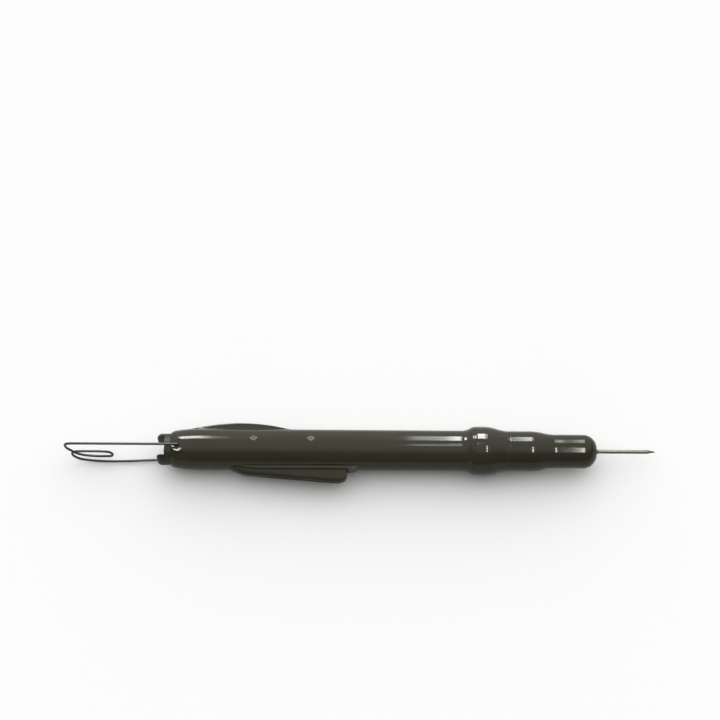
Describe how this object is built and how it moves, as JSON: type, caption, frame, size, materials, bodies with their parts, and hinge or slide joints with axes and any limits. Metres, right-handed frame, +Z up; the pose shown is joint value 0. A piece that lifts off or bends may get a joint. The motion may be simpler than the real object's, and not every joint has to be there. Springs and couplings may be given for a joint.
{
  "type": "electric screwdriver",
  "caption": "Slim in-line electric screwdriver with a start lever, torque ring, rounded nose, bit chuck, rear power socket and a hanging wire bail with a curl.",
  "frame": {"origin": "point on the drive axis where the bit leaves the nose", "axes": "+X along the drive axis towards the bit tip, +Z up with the tool lying on its side, start lever towards -Y, switch hump towards +Y"},
  "size_m": [0.4123, 0.0427, 0.0342],
  "materials": {
    "housing_plastic": "glossy moulded olive",
    "nose_plastic": "glossy moulded olive",
    "ring_plastic": "glossy moulded olive",
    "lever_plastic": "glossy moulded olive",
    "cap_plastic": "moulded olive",
    "knob_plastic": "moulded black",
    "sleeve_plastic": "glossy dark",
    "bail_steel": "dark drawn wire",
    "bit_steel": "ground tool steel",
    "screw_steel": "zinc plated",
    "spindle_steel": "ground",
    "gear_steel": "machined",
    "spring_steel": "drawn wire",
    "case_alloy": "die cast",
    "motor_steel": "zinc plated",
    "core_steel": "laminated",
    "magnet": "sintered",
    "copper": "enamelled copper",
    "bronze": "sintered bronze",
    "brass": "turned",
    "carbon": "pressed carbon",
    "socket_nickel": "nickel plated",
    "insulator": "moulded black",
    "board": "laminate",
    "component": "moulded",
    "switch_plastic": "moulded",
    "lead_cover": "insulated wire"
  },
  "bodies": {
    "housing": {"housing_upper": "housing_plastic", "housing_lower": "housing_plastic", "housing_screws": "screw_steel", "front_clamp_ring": "spring_steel", "rear_cap": "cap_plastic", "socket_shell": "socket_nickel", "socket_insert": "insulator", "socket_contacts": "brass", "supply_leads": "lead_cover", "lever_pin": "spindle_steel", "lever_spring": "spring_steel", "start_switch": "switch_plastic", "direction_switch": "switch_plastic", "circuit_board": "board", "board_components": "component", "motor_leads": "lead_cover", "motor_can": "motor_steel", "motor_magnets": "magnet", "motor_end_bell": "insulator", "motor_brushes": "carbon", "motor_front_bush": "bronze", "motor_rear_bush": "bronze", "ring_gear": "gear_steel", "gearbox_case": "case_alloy", "clutch_spring": "spring_steel", "spindle_rear_bush": "bronze", "spindle_front_bush": "bronze", "nose_cover": "nose_plastic"},
    "bail": {"bail": "bail_steel"},
    "lever": {"lever": "lever_plastic"},
    "plunger": {"switch_plunger": "knob_plastic"},
    "direction_knob": {"direction_knob": "knob_plastic"},
    "armature": {"armature_core": "core_steel", "armature_winding": "copper", "commutator": "copper", "motor_shaft": "spindle_steel", "sun_gear": "gear_steel"},
    "output": {"planet_carrier": "gear_steel", "planet_pins": "spindle_steel", "spindle": "spindle_steel", "chuck_spring": "spring_steel", "chuck_balls": "spindle_steel", "chuck_clip": "spring_steel", "bit": "bit_steel"},
    "planet_1": {"planet_gear_1": "gear_steel"},
    "planet_2": {"planet_gear_2": "gear_steel"},
    "planet_3": {"planet_gear_3": "gear_steel"},
    "chuck_sleeve": {"chuck_sleeve": "sleeve_plastic"},
    "torque_ring": {"torque_ring": "ring_plastic"},
    "spring_nut": {"spring_nut": "brass"},
    "clutch_plate": {"thrust_washer": "gear_steel", "clutch_pins": "spindle_steel"}
  },
  "joints": [
    {"name": "motor_spin", "type": "hinge", "parent": "housing", "child": "armature", "pos_m": [-0.14, 0, 0], "axis": [1, 0, 0], "continuous": true},
    {"name": "output_spin", "type": "hinge", "parent": "housing", "child": "output", "pos_m": [-0.05, 0, 0], "axis": [1, 0, 0], "continuous": true},
    {"name": "planet_1_spin", "type": "hinge", "parent": "output", "child": "planet_1", "pos_m": [-0.1083, 0.00664, 0], "axis": [1, 0, 0], "continuous": true},
    {"name": "planet_2_spin", "type": "hinge", "parent": "output", "child": "planet_2", "pos_m": [-0.1083, -0.00332, 0.00575], "axis": [1, 0, 0], "continuous": true},
    {"name": "planet_3_spin", "type": "hinge", "parent": "output", "child": "planet_3", "pos_m": [-0.1083, -0.00332, -0.00575], "axis": [1, 0, 0], "continuous": true},
    {"name": "sleeve_retract", "type": "slide", "parent": "output", "child": "chuck_sleeve", "axis": [-1, 0, 0], "range_m": [0, 0.0025], "stiffness_N_per_m": 300, "springref_m": -0.006, "deforming": ["chuck_spring"]},
    {"name": "torque_ring_turn", "type": "hinge", "parent": "housing", "child": "torque_ring", "pos_m": [-0.074, 0, 0], "axis": [1, 0, 0], "range_deg": [0, 300]},
    {"name": "spring_nut_advance", "type": "slide", "parent": "torque_ring", "child": "spring_nut", "axis": [-1, 0, 0], "range_m": [0, 0.00401], "deforming": ["clutch_spring"]},
    {"name": "clutch_release", "type": "slide", "parent": "housing", "child": "clutch_plate", "axis": [1, 0, 0], "range_m": [0, 0.0008], "stiffness_N_per_m": 400, "springref_m": -0.01},
    {"name": "lever_press", "type": "hinge", "parent": "housing", "child": "lever", "pos_m": [-0.2501, -0.0106, 0], "axis": [0, 0, 1], "range_deg": [0, 3], "stiffness_Nm_per_rad": 0.6, "springref_deg": -6.88, "deforming": ["lever_spring"]},
    {"name": "plunger_travel", "type": "slide", "parent": "housing", "child": "plunger", "axis": [0, 1, 0], "range_m": [0, 0.0024]},
    {"name": "direction_slide", "type": "slide", "parent": "housing", "child": "direction_knob", "axis": [1, 0, 0], "range_m": [-0.0025, 0.0025]},
    {"name": "bail_swing", "type": "hinge", "parent": "housing", "child": "bail", "pos_m": [-0.2919, -0.0018, 0], "axis": [0, 0, 1], "range_deg": [-110, 110]}
  ],
  "couplings": [
    {"joint": "output_spin", "follows": "motor_spin", "ratio": 0.25},
    {"joint": "planet_1_spin", "follows": "motor_spin", "ratio": -0.75},
    {"joint": "planet_2_spin", "follows": "motor_spin", "ratio": -0.75},
    {"joint": "planet_3_spin", "follows": "motor_spin", "ratio": -0.75},
    {"joint": "spring_nut_advance", "follows": "torque_ring_turn", "m_per_rad": 0.00076394},
    {"joint": "plunger_travel", "follows": "lever_press", "m_per_rad": 0.044}
  ]
}
